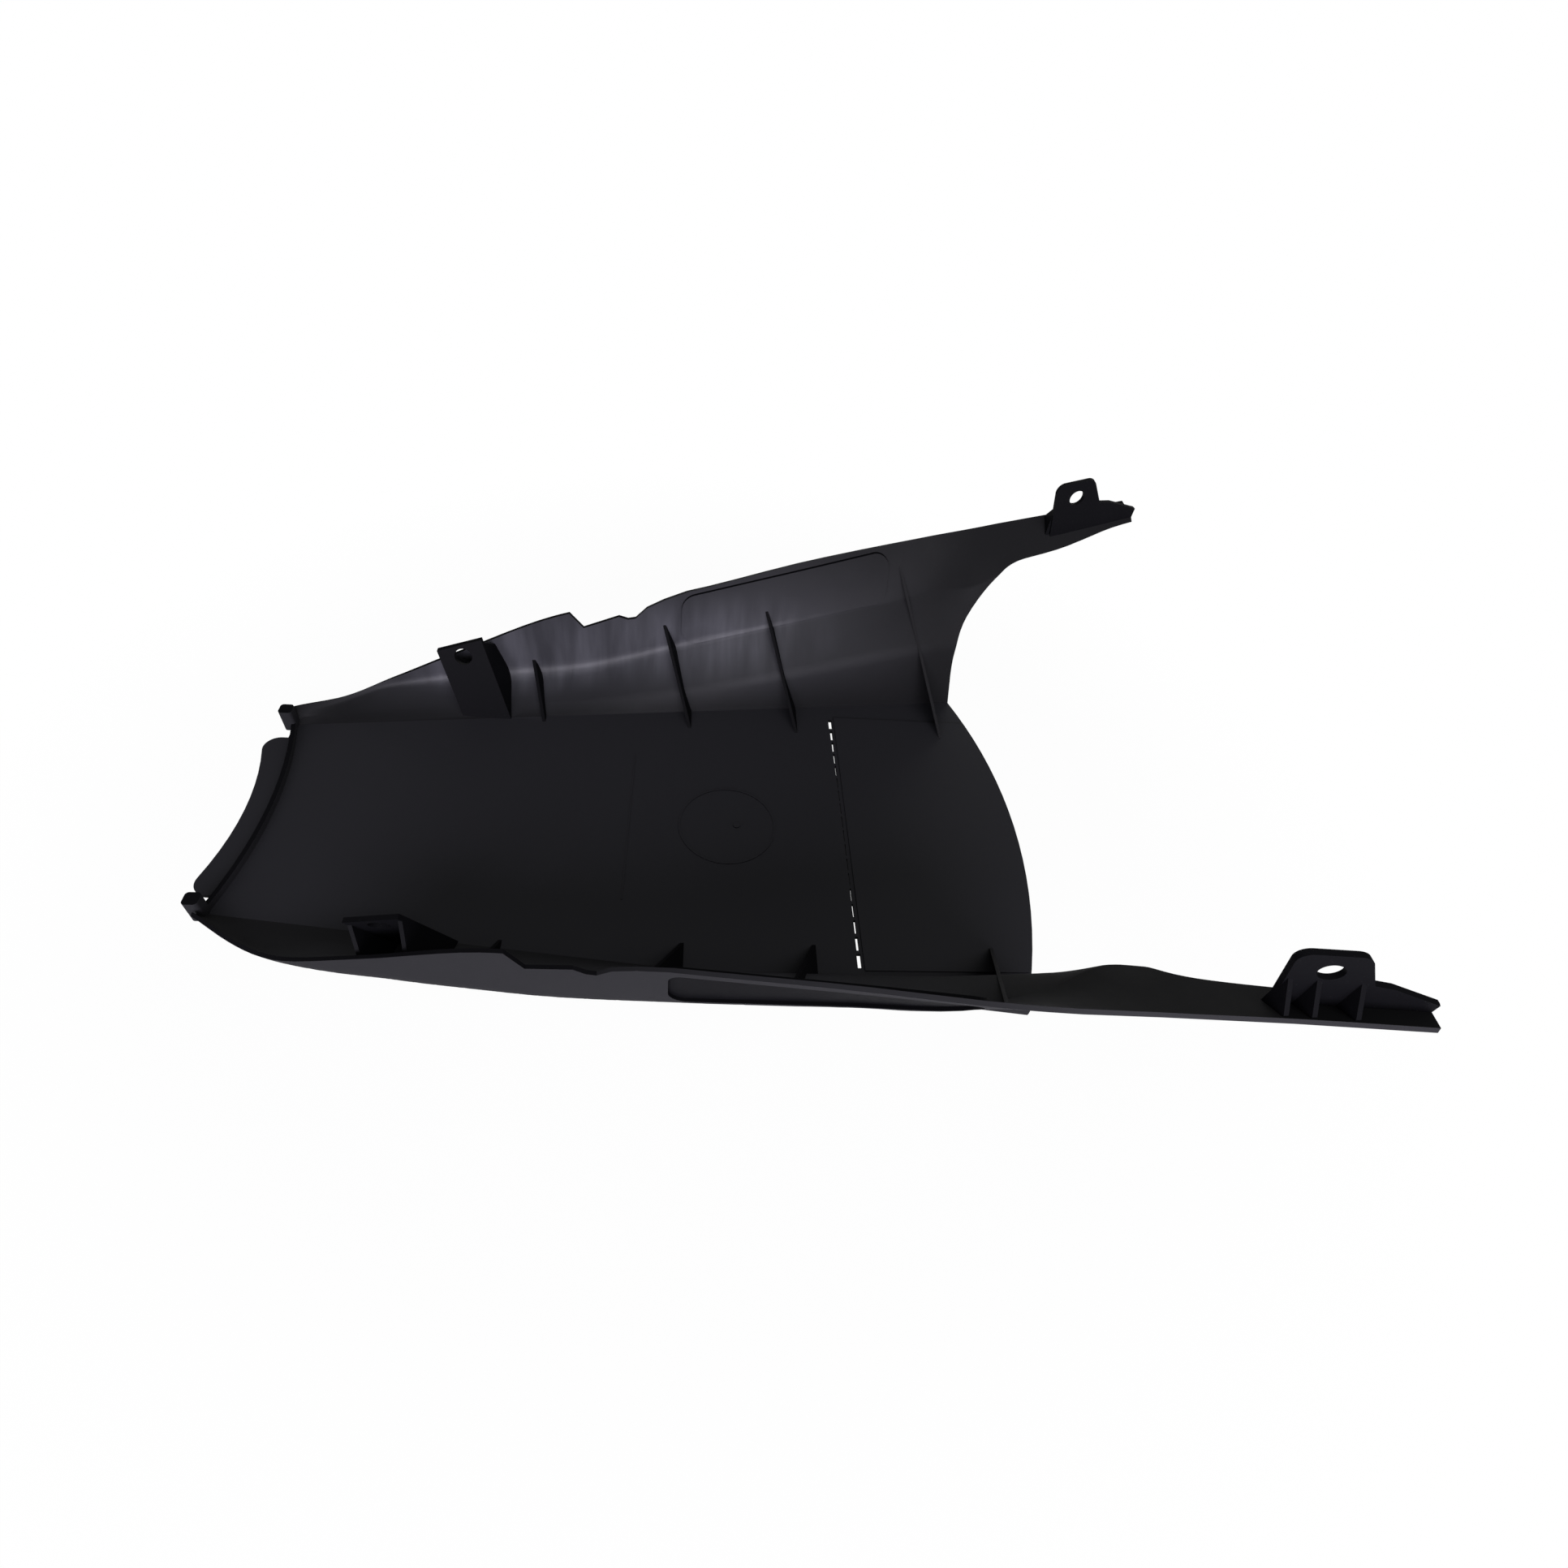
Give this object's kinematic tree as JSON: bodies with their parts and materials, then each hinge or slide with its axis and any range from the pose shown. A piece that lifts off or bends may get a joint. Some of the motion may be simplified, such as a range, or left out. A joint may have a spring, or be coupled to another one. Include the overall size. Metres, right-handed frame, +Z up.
{
  "type": "belly pan",
  "caption": "One-piece moulded plastic belly pan for a scooter: flat floor with flared, creased side walls, stiffening ribs, and arms with bolt lugs at the rear.",
  "frame": {"origin": "middle of the bounding box in plan, on the plane that the flat underside rests on", "axes": "+X to the rear, where the arms are; +Y to the machine's right-hand side; +Z up"},
  "size_m": [0.5714, 0.4034, 0.1577],
  "materials": {
    "plastic": "unpainted black plastic with a fine moulded grain"
  },
  "bodies": {
    "root": {"belly_pan": "plastic"}
  },
  "joints": []
}
